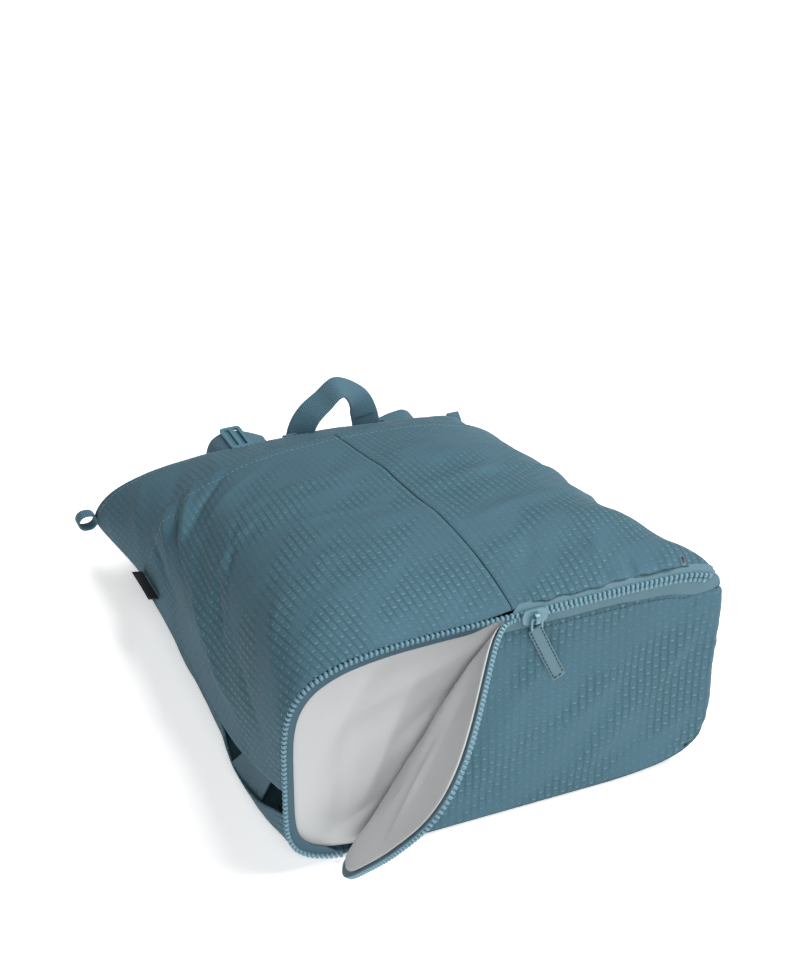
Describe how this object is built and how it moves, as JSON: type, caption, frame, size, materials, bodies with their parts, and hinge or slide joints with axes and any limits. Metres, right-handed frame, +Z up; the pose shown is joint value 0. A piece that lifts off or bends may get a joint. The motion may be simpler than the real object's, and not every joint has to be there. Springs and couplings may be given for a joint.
{
  "type": "backpack purse",
  "caption": "Soft backpack purse lying on its back, with a zipped base panel half open, a carrying handle at the top and a strap pocket behind.",
  "frame": {"origin": "on the underside of the flat back panel, on the bag's middle line, 120 mm from the base's plane", "axes": "+X to the right along the base's width as seen from the base, +Y from the base to the top edge, +Z up from the floor to the front"},
  "size_m": [0.3174, 0.5085, 0.1647],
  "materials": {
    "shell": "matt teal-blue woven cloth with a fine embossed pattern",
    "back_cloth": "dark plain cloth",
    "lining": "light grey smooth lining cloth",
    "zip_tape": "woven blue zip tape",
    "zip_teeth": "light blue moulded teeth",
    "zip_metal": "blue paint, satin",
    "pull_tab": "blue tape, folded and stitched",
    "webbing": "ribbed blue webbing",
    "buckle": "blue moulded plastic",
    "label": "black woven tab"
  },
  "bodies": {
    "bag": {"front_left": "shell", "front_right": "shell", "collar": "shell", "back_wall": "back_cloth", "back_panel": "shell", "base_panel": "shell", "flap_lining": "lining", "tape_body": "zip_tape", "teeth_body": "zip_teeth", "tape_flap": "zip_tape", "teeth_flap": "zip_teeth", "lining_partition": "lining", "strap_anchor_left": "webbing", "strap_anchor_right": "webbing", "handle": "webbing", "handle_tab_left": "webbing", "handle_tab_right": "webbing", "strap_loop": "webbing", "strap_buckle": "buckle", "strap_tab_right": "webbing", "corner_loop_left": "webbing", "corner_loop_right": "webbing", "label_tab": "label", "zip_slider": "zip_metal"},
    "zip_pull": {"pull_link": "zip_metal", "pull_tab": "pull_tab"}
  },
  "joints": [
    {"name": "pull_swing", "type": "hinge", "parent": "bag", "child": "zip_pull", "pos_m": [0.012, -0.129, 0.15105], "axis": [-1, 0, 0], "range_deg": [0, 120]}
  ]
}
